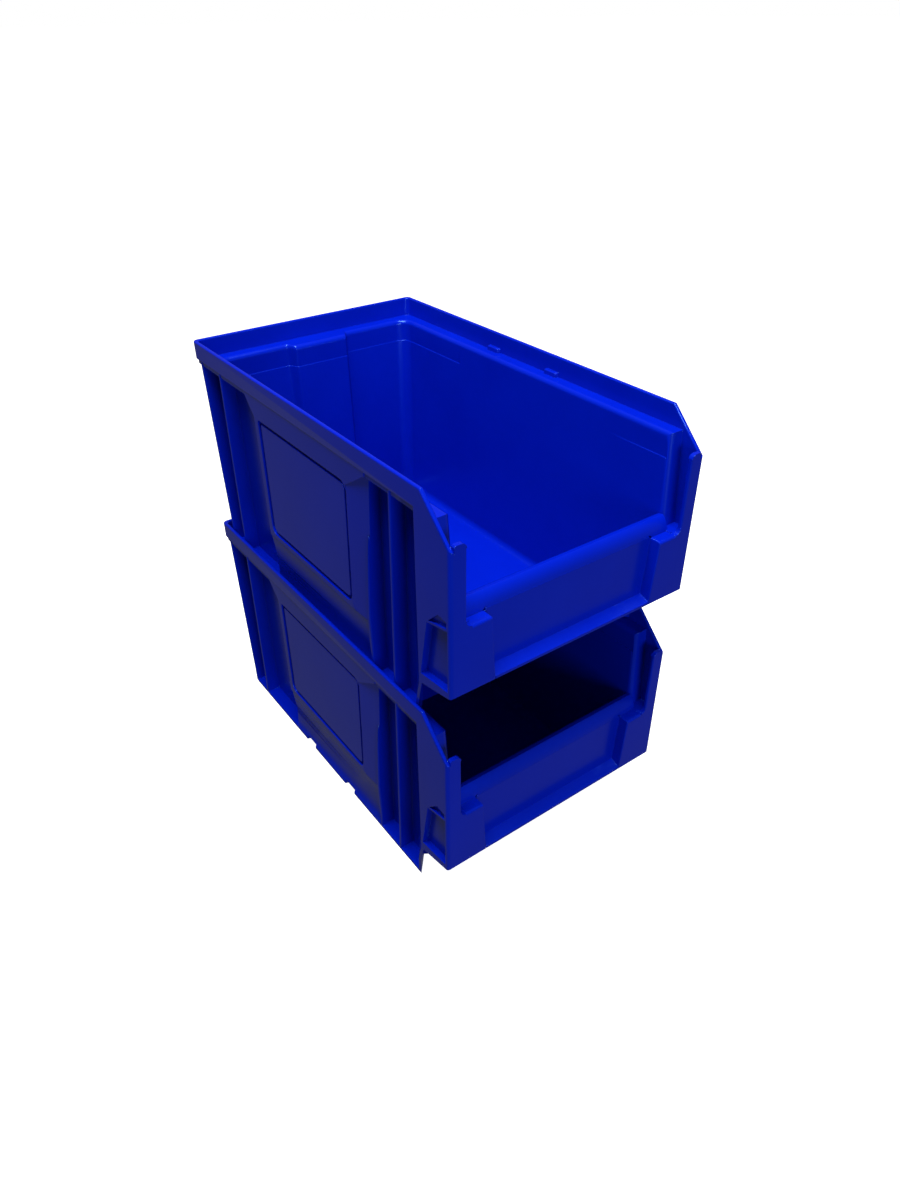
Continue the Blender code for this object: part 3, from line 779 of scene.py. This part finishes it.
@dataclass(frozen=True)
class FrontCorner:
    """Wing, post, upright groove and end block on each side of the open front."""

    size: Envelope
    post_width: float = 8.5 * MM
    post: float = 2.4 * MM
    cap: float = 2.8 * MM
    wing_length: float = 25.0 * MM
    wing_drop: float = 5.5 * MM
    web: float = 2.2 * MM
    tip: float = 30.0 * MM
    groove_floor: float = 71.0 * MM
    groove_back: float = 9.5 * MM
    groove_lean: float = 3.5 * MM
    groove_round: float = 3.0 * MM
    block_top: float = 70.5 * MM
    block_width: float = 22.5 * MM
    block_flare: float = 2.5 * MM
    side_recess: float = 3.5 * MM
    recess_foot: float = 3.0 * MM      # recess's lower corners over the front's bottom edge
    recess_foot_back: float = 0.6 * MM
    recess_margin: float = 1.5 * MM    # from its lower back corner to the back of the wing
    recess_slant: float = 7.5 * MM     # and from its upper back corner
    recess_head: float = 0.2 * MM      # its front corner over the block's top
    recess_fall: float = 3.2 * MM      # its back corner under the block's top
    slot_foot: float = 1.4 * MM        # slot's corners over the block's top, front first
    slot_foot_back: float = -1.8 * MM
    slot_head: float = 4.5 * MM
    slot_head_back: float = 5.5 * MM
    slot_shift: float = 3.5 * MM       # its upper back corner before the middle of the wing
    groove_steps: int = 6

    outer_round: float = 1.9 * MM      # upright outside corner
    post_round: float = 0.8 * MM
    block_round: float = 1.5 * MM      # along the top of the block
    fine_round: float = 0.7 * MM
    post_fillet: float = 3.0 * MM      # soft curve between post and block

    @property
    def under(self) -> float:
        """Height of the lower back end of the wing."""
        return self.size.front_bottom - self.wing_drop

    @property
    def post_top(self) -> float:
        """Height of the top of the post."""
        return self.size.height - Rim.chamfer_height + self.cap

    def web_line(self, z: float) -> Point:
        """Outer end (x, y) of the front face of the slanted web at a height.

        Args:
            z: The height.

        Returns:
            The point in plan.
        """
        s = self.size
        share = min(max((z - s.nested) / (self.under - s.nested), 0.0), 1.0)
        return (s.flange_half + (s.half - s.flange_half) * share,
                self.tip + (self.wing_length - self.web - self.tip) * share)

    def solids(self) -> list[Solid]:
        """Slanted web, wing and end block of the right-hand side.

        Returns:
            The three solids.
        """
        s = self.size
        top = s.rim_edge + PAST
        rings = []
        for z in (s.flange / 2, s.nested, self.under, top):
            x, y = self.web_line(z)
            rings.append(level([(x, y), (s.root, s.base_front), (s.root, s.base_front + self.web),
                                (x, y + self.web)], z))
        web = Solid.through("web", rings)

        middle = self.web / 2
        column = [(s.root, 0.0), (s.half, 0.0), (s.half, self.wing_length - middle),
                  (s.root, s.base_front + middle)]
        low = [Vector((x, y, s.front_bottom - self.wing_drop * y / self.wing_length)) for x, y in column]
        wing = Solid.through("wing", [low, level(column, top)])

        edge = s.half - self.block_width
        behind = s.label_recess + s.front_wall
        block = Solid.through("block", [
            level([(inner, 0), (s.half, 0), (s.half, behind), (inner, behind)], z)
            for inner, z in ((edge - self.block_flare, s.front_bottom), (edge, self.block_top))])
        return [web, wing, block]

    def mouth(self) -> Solid:
        """Opening between the wings, with the upright groove behind each post.

        Returns:
            The cutter.
        """
        s = self.size
        rings = []
        for z, lean in ((self.groove_floor, 0.0), (s.ledge, self.groove_lean),
                        (s.height + PAST, self.groove_lean)):
            back = self.groove_back + lean
            centre = (s.inside_half(z) + self.groove_round, back + self.groove_round)
            half = [(s.lip_inside, self.post), (s.lip_inside, back)]
            half += arc(centre, self.groove_round, 270, 180, self.groove_steps)
            rings.append(level(half + [(-x, y) for x, y in reversed(half)], z))
        return Solid.through("mouth", rings)

    def opening(self) -> Solid:
        """Space between the posts above the blocks, with a curve at the foot of each post.

        Returns:
            The cutter.
        """
        s = self.size
        reach, r = s.half - self.post_width, self.post_fillet
        half = arc((reach - r, self.block_top + r), r, 270, 360, EDGE_STEPS)
        half.append((reach, s.height + PAST))
        outline = half + [(-x, z) for x, z in reversed(half)]
        return Solid.through("opening", [[Vector((x, y, z)) for x, z in outline]
                                         for y in (-PAST, self.post + PAST)])

    def cutters(self) -> list[Solid]:
        """Cutters for the cap of the post, the sunk outside face and the small slot above it.

        Returns:
            The three right-hand cutters.
        """
        s = self.size
        inner, outer = s.half - self.post_width, s.lip_inside + self.cap / 4
        dome = arc((inner + self.cap, self.post_top - self.cap), self.cap, 180, 90)
        dome += [(outer - self.cap / 2, self.post_top), (outer, self.post_top - self.cap / 2)]
        outline = [(inner - PAST, self.post_top - self.cap)] + dome
        outline += [(outer, s.height + PAST), (inner - PAST, s.height + PAST)]
        cap = Solid.through("cap", [[Vector((x, y, z)) for x, z in outline]
                                    for y in (-PAST, self.post + PAST / 10)])
        top_back = self.wing_length - self.recess_slant
        sunk = Solid.across("side_recess", [
            (self.post, s.front_bottom + self.recess_foot),
            (self.wing_length - self.recess_margin, s.front_bottom + self.recess_foot_back),
            (top_back, self.block_top - self.recess_fall),
            (self.post, self.block_top + self.recess_head)], s.half - self.side_recess, s.half + PAST)
        slot = Solid.across("side_slot", [
            (self.post + PAST / 2, self.block_top + self.slot_foot),
            (top_back - PAST, self.block_top + self.slot_foot_back),
            (self.wing_length / 2 - self.slot_shift, self.block_top + self.slot_head_back),
            (self.post + PAST / 2, self.block_top + self.slot_head)],
            s.lip_inside + s.lip / 4, s.half + PAST)
        return [cap, sunk, slot]

    def edges(self) -> list[Solid]:
        """Cutters that round the straight outside edges of the right-hand corner.

        Returns:
            One cutter for each edge.
        """
        s = self.size
        x_in, x_out, y_in, up, down = (Vector(v) for v in (
            (-1, 0, 0), (1, 0, 0), (0, 1, 0), (0, 0, 1), (0, 0, -1)))
        foot = s.height - Rim.chamfer_height
        inner = s.half - self.post_width
        block = s.half - self.block_width
        back = s.label_recess + s.front_wall
        low, high = s.front_bottom, self.block_top
        slant = Vector((s.root - s.half, s.base_front - self.wing_length + self.web, 0.0))
        tail = Vector((s.half, self.wing_length, 0.0))
        post_foot, post_end = high + self.post_fillet, self.post_top - self.cap
        runs = (
            (Vector((s.half, 0, low - PAST)), Vector((s.half, 0, foot + PAST)), x_in, y_in,
             self.outer_round),
            (tail + up * self.under, tail + up * (s.rim_edge - s.clearance), -y_in, slant,
             self.post_round),
            (Vector((inner, 0, post_foot)), Vector((inner, 0, post_end)), x_out, y_in, self.post_round),
            (Vector((inner, self.post, post_foot)), Vector((inner, self.post, post_end)), x_out, -y_in,
             self.post_round),
            (Vector((block - PAST, 0, high)), Vector((inner - self.post_fillet, 0, high)), y_in, down,
             self.block_round),
            (Vector((block - self.block_flare, 0, low)), Vector((block, 0, high)), x_out, y_in,
             self.fine_round),
            (Vector((block, 0, high)), Vector((block, back, high)), x_out, down, self.fine_round),
            (Vector((-NEAR, 0, low)), Vector((s.half + PAST, 0, low)), y_in, up, self.fine_round),
        )
        return [Solid.edge_cutter(*run) for run in runs]

    def hollows(self, skin: float, inset: float, high: float) -> list[Solid]:
        """Cores that thin the wing and the block, open underneath.

        Args:
            skin: How far out the hollow reaches.
            inset: Thickness left on the wall side.
            high: Top of the hollow in the wing.

        Returns:
            The two cores.
        """
        s = self.size
        start = self.groove_back + self.groove_lean + s.wall
        slope = (s.base_front - self.wing_length + self.web) / (s.half - s.root)
        rings = []
        for z in (self.under - PAST, high):
            inner = s.inside_half(z) + inset
            stops = [s.base_front - slope * (x - s.root) - PAST for x in (skin, inner)]
            rings.append(level([(inner, start), (skin, start), (skin, stops[0]), (inner, stops[1])], z))
        edge = s.half - self.block_width + s.wall
        reach = s.half - 2 * self.side_recess - s.wall
        back = s.label_recess - PAST
        outline = [(edge, s.wall), (reach, s.wall), (reach, back), (edge, back)]
        block = Solid.upright("block_hollow", outline, self.under, self.block_top - s.wall)
        return [Solid.through("wing_hollow", rings), block]


@dataclass(frozen=True)
class LabelFront:
    """Front wall with its rolled top edge and the shelf for a label."""

    size: Envelope
    top: float = 78.3 * MM
    lean: float = 4.0 * MM
    roll: float = 9.0 * MM
    roll_turn: float = 72.0            # degrees that the top edge turns back
    edge_in: float = 0.4 * MM          # how the sheet thins towards that edge
    edge_down: float = 0.8 * MM
    shelf_edge: float = 1.9 * MM
    shelf_rise: float = 2.0 * MM

    def wall(self) -> Solid:
        """Sheet behind the label, rolled back along its top.

        Returns:
            The sheet.
        """
        s = self.size
        face, back = s.label_recess, s.label_recess + s.front_wall
        start = self.top - self.roll
        outside, inside = [], []
        full = math.radians(self.roll_turn)
        for i in range(ARC_STEPS + 1):
            angle = full * i / ARC_STEPS
            lean = self.lean * (1 - math.cos(angle)) / (1 - math.cos(full))
            rise = self.roll * math.sin(angle) / math.sin(full)
            outside.append((face + lean, start + rise))
            inside.append((back + lean + self.edge_in, start + rise - self.edge_down))
        profile = [(back, s.front_bottom + s.wall), (face, s.front_bottom + s.wall)] + outside
        reach = s.inside_half(s.front_bottom) + s.wall / 2
        return Solid.across("front_wall", profile + list(reversed(inside)), -reach, reach)

    def shelf(self, reach: float) -> Solid:
        """Sloped shelf under the label recess, as wide as the gap between the blocks.

        Args:
            reach: Half its width.

        Returns:
            The shelf.
        """
        s = self.size
        back = s.label_recess + s.front_wall
        high = s.front_bottom + self.shelf_edge + self.shelf_rise
        return Solid.across("shelf", [
            (0.0, s.front_bottom), (back, s.front_bottom), (back, high), (s.label_recess, high),
            (0.0, s.front_bottom + self.shelf_edge)], -reach, reach)


@dataclass(frozen=True)
class Base:
    """Flange that the bin stands on."""

    size: Envelope
    inset: float = 6.6 * MM
    edge_round: float = 0.5 * MM

    def flange(self, tip: float) -> Solid:
        """Plate with its overhang and pointed front ends.

        Args:
            tip: Distance from the front face to the pointed ends.

        Returns:
            The plate.
        """
        s = self.size
        end = s.length - self.inset
        half = [(s.root, s.base_front), (s.flange_half, tip)]
        half += arc((s.flange_half - s.rim_radius, end - s.rim_radius), s.rim_radius, 0, 90,
                    ARC_STEPS // 2)
        shoulder = s.channel_width / 2
        half += [(shoulder, end), (shoulder - s.channel_slope, end - s.channel_depth)]
        outline = half + [(-x, y) for x, y in reversed(half)]
        plate = Solid.upright("flange", outline, 0.0, s.flange)
        return plate.rounded(self.edge_round, lambda edge: not upright_edge(edge)
                             and edge.calc_length() > self.edge_round)


class Moulding:
    """One complete bin as a single closed mesh, in its own axes."""

    sharp_angle: float = 35.0          # degrees from which an edge is drawn sharp

    def __init__(self, size: Envelope) -> None:
        """Keeps the parts of the moulding, all made to the same envelope.

        Args:
            size: That envelope.
        """
        self.size = size
        self.tub = Tub(size)
        self.rim = Rim(size)
        self.side = Side(size)
        self.corner = FrontCorner(size)
        self.front = LabelFront(size)
        self.base = Base(size)

    def build(self) -> bpy.types.Object:
        """Joins and cuts the parts.

        Returns:
            The bin in its own axes.
        """
        corner, side = self.corner, self.side
        shape = self.tub.shell(self.rim.foot).placed()
        combine(shape, [self.tub.underside()], Cut.REMOVE)
        combine(shape, self.rim.solids() + both_sides(side.solids() + corner.solids()), Cut.JOIN)
        combine(shape, [self.tub.cavity(), self.rim.pocket(), corner.mouth(), corner.opening()]
                + both_sides([self.rim.chamfer()] + side.cutters() + corner.cutters()), Cut.REMOVE)
        shelf_reach = self.size.half - corner.block_width + corner.block_flare
        combine(shape, [self.base.flange(corner.tip), self.tub.scoop(), self.front.wall(),
                        self.front.shelf(shelf_reach)] + both_sides(self.rim.bumps()), Cut.JOIN)
        skin = self.size.flange_half - side.cove_depth - side.skin
        combine(shape, both_sides([side.hollow()] + corner.hollows(skin, side.core_inset, side.window_top)
                                  + self.rim.notches()), Cut.REMOVE)
        combine(shape, self.tub.wall_steps() + both_sides(corner.edges()), Cut.REMOVE)
        welded(shape.data)
        shape.data.shade_smooth()
        shape.data.set_sharp_from_angle(angle=math.radians(self.sharp_angle))
        return shape


# ---------------------------------------------------------------- finish


def linear(colour: str) -> tuple[float, float, float, float]:
    """Turns an sRGB hex colour such as "1040C0" into a linear colour with alpha."""
    channels = [int(colour[i:i + 2], 16) / 255 for i in (0, 2, 4)]
    return (*(c / 12.92 if c <= 0.04045 else ((c + 0.055) / 1.055) ** 2.4 for c in channels), 1.0)


def add_node(tree: bpy.types.NodeTree, kind: str, settings: dict[str, object] | None = None,
             **links: object) -> bpy.types.Node:
    """Adds one node to a material.

    Args:
        tree: The material's node tree.
        kind: Type name of the node.
        settings: Properties and input values by name. An input may be given by its number.
        links: Sockets that feed its inputs, by input name with underscores for spaces.

    Returns:
        The new node.
    """
    node = tree.nodes.new(kind)
    for name, value in (settings or {}).items():
        if isinstance(name, str) and hasattr(node, name):
            setattr(node, name, value)
        else:
            node.inputs[name].default_value = value
    for name, socket in links.items():
        tree.links.new(socket, node.inputs[name.replace("_", " ")])
    return node


@dataclass(frozen=True)
class MouldedPolypropylene:
    """Polypropylene copolymer, injection moulded in a spark-eroded steel tool.

    It gives a deep, even blue with a soft satin gloss, because the tool leaves the surface
    slightly rough, a faint cloudiness in the colour where the pigment flowed, and fine
    rubbed streaks from stacking.
    """

    colour: str = "001AB0"
    deep_colour: str = "0014A2"
    sheen_tint: str = "80C4FF"          # gloss on the pigment leans to blue
    ior: float = 1.49
    roughness: float = 0.23
    roughness_spread: float = 0.05
    cloud_size: float = 38.0 * MM       # patches where the pigment flowed
    cloud_detail: float = 3.0
    cloud_mix: float = 0.55             # share of the finer patches
    grain_size: float = 0.45 * MM       # eroded grain is finer and is drawn this coarse to show
    grain_height: float = 0.012 * MM
    grain_detail: float = 2.0
    sink_size: float = 22.0 * MM        # slow waves where the plastic shrank as it cooled
    sink_height: float = 0.07 * MM
    sink_detail: float = 1.0
    scuff_spacing: float = 2.6 * MM
    scuff_detail: float = 6.0
    scuff_mix: float = 0.7
    scuff_stretch: tuple[float, float, float] = (1.0, 0.12, 1.0)   # long rubs from front to back
    scuff_range: tuple[float, float] = (0.3, 0.75)                 # noise from glossy to dull
    edge_round: float = 0.45 * MM
    edge_samples: int = 6

    def material(self) -> bpy.types.Material:
        """Builds the node material.

        Returns:
            The material, ready for a mesh's slot.
        """
        material = bpy.data.materials.new("moulded_polypropylene_blue")
        material.use_nodes = True
        tree = material.node_tree
        shader = tree.nodes["Principled BSDF"]
        place = add_node(tree, "ShaderNodeTexCoord").outputs["Object"]
        cloud = add_node(tree, "ShaderNodeTexNoise", {
            "Scale": 1 / self.cloud_size, "Detail": self.cloud_detail, "Roughness": self.cloud_mix},
            Vector=place)
        tint = add_node(tree, "ShaderNodeMix", {
            "data_type": "RGBA", 6: linear(self.deep_colour), 7: linear(self.colour)})
        tree.links.new(cloud.outputs["Fac"], tint.inputs[0])
        tree.links.new(tint.outputs[2], shader.inputs["Base Color"])

        streak = add_node(tree, "ShaderNodeMapping", {"Scale": self.scuff_stretch}, Vector=place)
        scuff = add_node(tree, "ShaderNodeTexNoise", {
            "Scale": 1 / self.scuff_spacing, "Detail": self.scuff_detail, "Roughness": self.scuff_mix},
            Vector=streak.outputs["Vector"])
        glossy, dull = self.scuff_range
        gloss = add_node(tree, "ShaderNodeMapRange", {
            "From Min": glossy, "From Max": dull, "To Min": self.roughness - self.roughness_spread / 2,
            "To Max": self.roughness + self.roughness_spread / 2}, Value=scuff.outputs["Fac"])
        tree.links.new(gloss.outputs["Result"], shader.inputs["Roughness"])

        edge = add_node(tree, "ShaderNodeBevel", {"samples": self.edge_samples,
                                                  "Radius": self.edge_round})
        sink = add_node(tree, "ShaderNodeTexNoise", {
            "Scale": 1 / self.sink_size, "Detail": self.sink_detail}, Vector=place)
        wave = add_node(tree, "ShaderNodeBump", {"Distance": self.sink_height},
                        Height=sink.outputs["Fac"], Normal=edge.outputs["Normal"])
        grain = add_node(tree, "ShaderNodeTexNoise", {
            "Scale": 1 / self.grain_size, "Detail": self.grain_detail}, Vector=place)
        relief = add_node(tree, "ShaderNodeBump", {"Distance": self.grain_height},
                          Height=grain.outputs["Fac"], Normal=wave.outputs["Normal"])
        tree.links.new(relief.outputs["Normal"], shader.inputs["Normal"])
        shader.inputs["IOR"].default_value = self.ior
        shader.inputs["Specular Tint"].default_value = linear(self.sheen_tint)
        return material


@dataclass(frozen=True)
class Lamp:
    """Square soft lamp, placed from the lower bin's front, base and middle."""

    name: str
    power: float
    width: float
    place: tuple[float, float, float]
    aim: tuple[float, float, float] = (0.0, 0.12, 0.10)

    def hang(self, origin: Vector) -> None:
        """Adds the lamp.

        Args:
            origin: Front, base and middle of the lower bin.
        """
        data = bpy.data.lights.new(self.name, "AREA")
        data.energy = self.power
        data.shape = "SQUARE"
        data.size = self.width
        lamp = bpy.data.objects.new(self.name, data)
        lamp.location = origin + Vector(self.place)
        beam = Vector(self.aim) - Vector(self.place)
        lamp.rotation_euler = beam.to_track_quat("-Z", "Y").to_euler()
        bpy.context.scene.collection.objects.link(lamp)


@dataclass(frozen=True)
class Studio:
    """Pale floor and soft light, placed from the lower bin's front, base and middle."""

    floor_colour: str = "D8D8D8"
    floor_size: float = 30.0
    floor_drop: float = 0.2 * MM        # keeps the floor clear of the bins
    floor_roughness: float = 0.9
    floor_glow: float = 0.97
    backdrop: float = 1.0               # brightness behind the floor's edge
    surround: float = 0.13              # dim room that the plastic reflects
    lamps: tuple[Lamp, ...] = (
        Lamp("overhead", power=20.0, width=0.6, place=(-0.16, 0.04, 1.15)),
        Lamp("front_fill", power=5.0, width=0.4, place=(-0.24, -0.95, 0.26)))

    def floor(self, origin: Vector) -> None:
        """Adds the pale floor just under the bins.

        Args:
            origin: Front, base and middle of the lower bin.
        """
        mesh = bmesh.new()
        bmesh.ops.create_grid(mesh, x_segments=1, y_segments=1, size=self.floor_size)
        bmesh.ops.translate(mesh, vec=(0.0, 0.0, origin.z - self.floor_drop), verts=mesh.verts)
        data = bpy.data.meshes.new("floor")
        mesh.to_mesh(data)
        mesh.free()
        piece = bpy.data.objects.new("floor", data)
        piece.visible_diffuse = False
        piece.visible_glossy = False
        bpy.context.scene.collection.objects.link(piece)
        paint = bpy.data.materials.new("studio_floor")
        paint.use_nodes = True
        shader = paint.node_tree.nodes["Principled BSDF"]
        shader.inputs["Base Color"].default_value = linear(self.floor_colour)
        shader.inputs["Roughness"].default_value = self.floor_roughness
        shader.inputs["Emission Color"].default_value = (1.0, 1.0, 1.0, 1.0)
        shader.inputs["Emission Strength"].default_value = self.floor_glow
        data.materials.append(paint)

    def light(self, origin: Vector) -> None:
        """Adds a dim surround, a white backdrop and the lamps.

        Args:
            origin: Front, base and middle of the lower bin.
        """
        scene = bpy.context.scene
        scene.world = bpy.data.worlds.new("studio")
        scene.world.use_nodes = True
        tree = scene.world.node_tree
        ray = add_node(tree, "ShaderNodeLightPath")
        glow = add_node(tree, "ShaderNodeMapRange", {"To Min": self.surround, "To Max": self.backdrop},
                        Value=ray.outputs["Is Camera Ray"])
        tree.links.new(glow.outputs["Result"], tree.nodes["Background"].inputs["Strength"])
        tree.nodes["Background"].inputs["Color"].default_value = (1.0, 1.0, 1.0, 1.0)
        for lamp in self.lamps:
            lamp.hang(origin)
        scene.view_settings.view_transform = "Standard"


@dataclass(frozen=True)
class Viewpoint:
    """Camera, placed from the lower bin's front, base and middle."""

    eye: tuple[float, float, float] = (-240.7 * MM, -236.7 * MM, 404.8 * MM)
    azimuth: float = -35.6
    elevation: float = 34.51
    roll: float = -0.565
    lens: float = 25.91
    sensor: float = 36.0

    def place(self, origin: Vector) -> None:
        """Adds the camera.

        Args:
            origin: Front, base and middle of the lower bin.
        """
        data = bpy.data.cameras.new("camera")
        data.sensor_fit = "VERTICAL"
        data.sensor_height = self.sensor
        data.lens = self.lens
        data.clip_start = 1.0 * MM
        camera = bpy.data.objects.new("camera", data)
        turn = (Matrix.Rotation(math.radians(self.azimuth), 4, "Z")
                @ Matrix.Rotation(math.radians(90.0 - self.elevation), 4, "X")
                @ Matrix.Rotation(math.radians(self.roll), 4, "Z"))
        camera.matrix_world = Matrix.Translation(origin + Vector(self.eye)) @ turn
        bpy.context.scene.collection.objects.link(camera)
        bpy.context.scene.camera = camera


class Bin:
    """One bin of the stack, in place of its node of the frame."""

    def __init__(self, node: str, body: str) -> None:
        """Keeps the names of the bin's node and body.

        Args:
            node: Name of its node in the frame.
            body: Name of the body that it belongs to.
        """
        self.node = node
        self.body = body
        self.low, self.high = (Vector(corner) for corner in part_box(node))

    @property
    def origin(self) -> Vector:
        """Middle of the bin's front at the base."""
        return Vector(((self.low.x + self.high.x) / 2, self.low.y, self.low.z))

    def envelope(self) -> Envelope:
        """Returns the overall size of the bin from its box, to the nearest micrometre."""
        return Envelope(*(round(size, 6) for size in self.high - self.low))

    def make(self, shape: bpy.types.Object, material: bpy.types.Material) -> bpy.types.Object:
        """Args:
            shape: The moulding in its own axes.
            material: Its finish.

        Returns:
            The finished piece.
        """
        data = shape.data.copy()
        data.transform(Matrix.Translation(self.origin))
        data.materials.clear()
        data.materials.append(material)
        piece = bpy.data.objects.new(self.node + "_moulding", data)
        bpy.context.scene.collection.objects.link(piece)
        even = piece.modifiers.new("even_shading", "WEIGHTED_NORMAL")
        even.keep_sharp = True
        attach(piece, self.body)
        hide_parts(self.node)
        return piece


def main() -> None:
    """Builds the bins and the studio and reports each piece."""
    logging.basicConfig(level=logging.INFO, format="%(message)s")
    lower, upper = Bin("lower_bin", "lower"), Bin("upper_bin", "upper")
    studio = Studio()
    studio.floor(lower.origin)
    studio.light(lower.origin)
    Viewpoint().place(lower.origin)
    shape = Moulding(lower.envelope()).build()
    material = MouldedPolypropylene().material()
    for item in (lower, upper):
        piece = item.make(shape, material)
        LOG.info("%s: %d faces", piece.name, len(piece.data.polygons))
    bpy.data.objects.remove(shape)


if __name__ == "__main__":
    main()
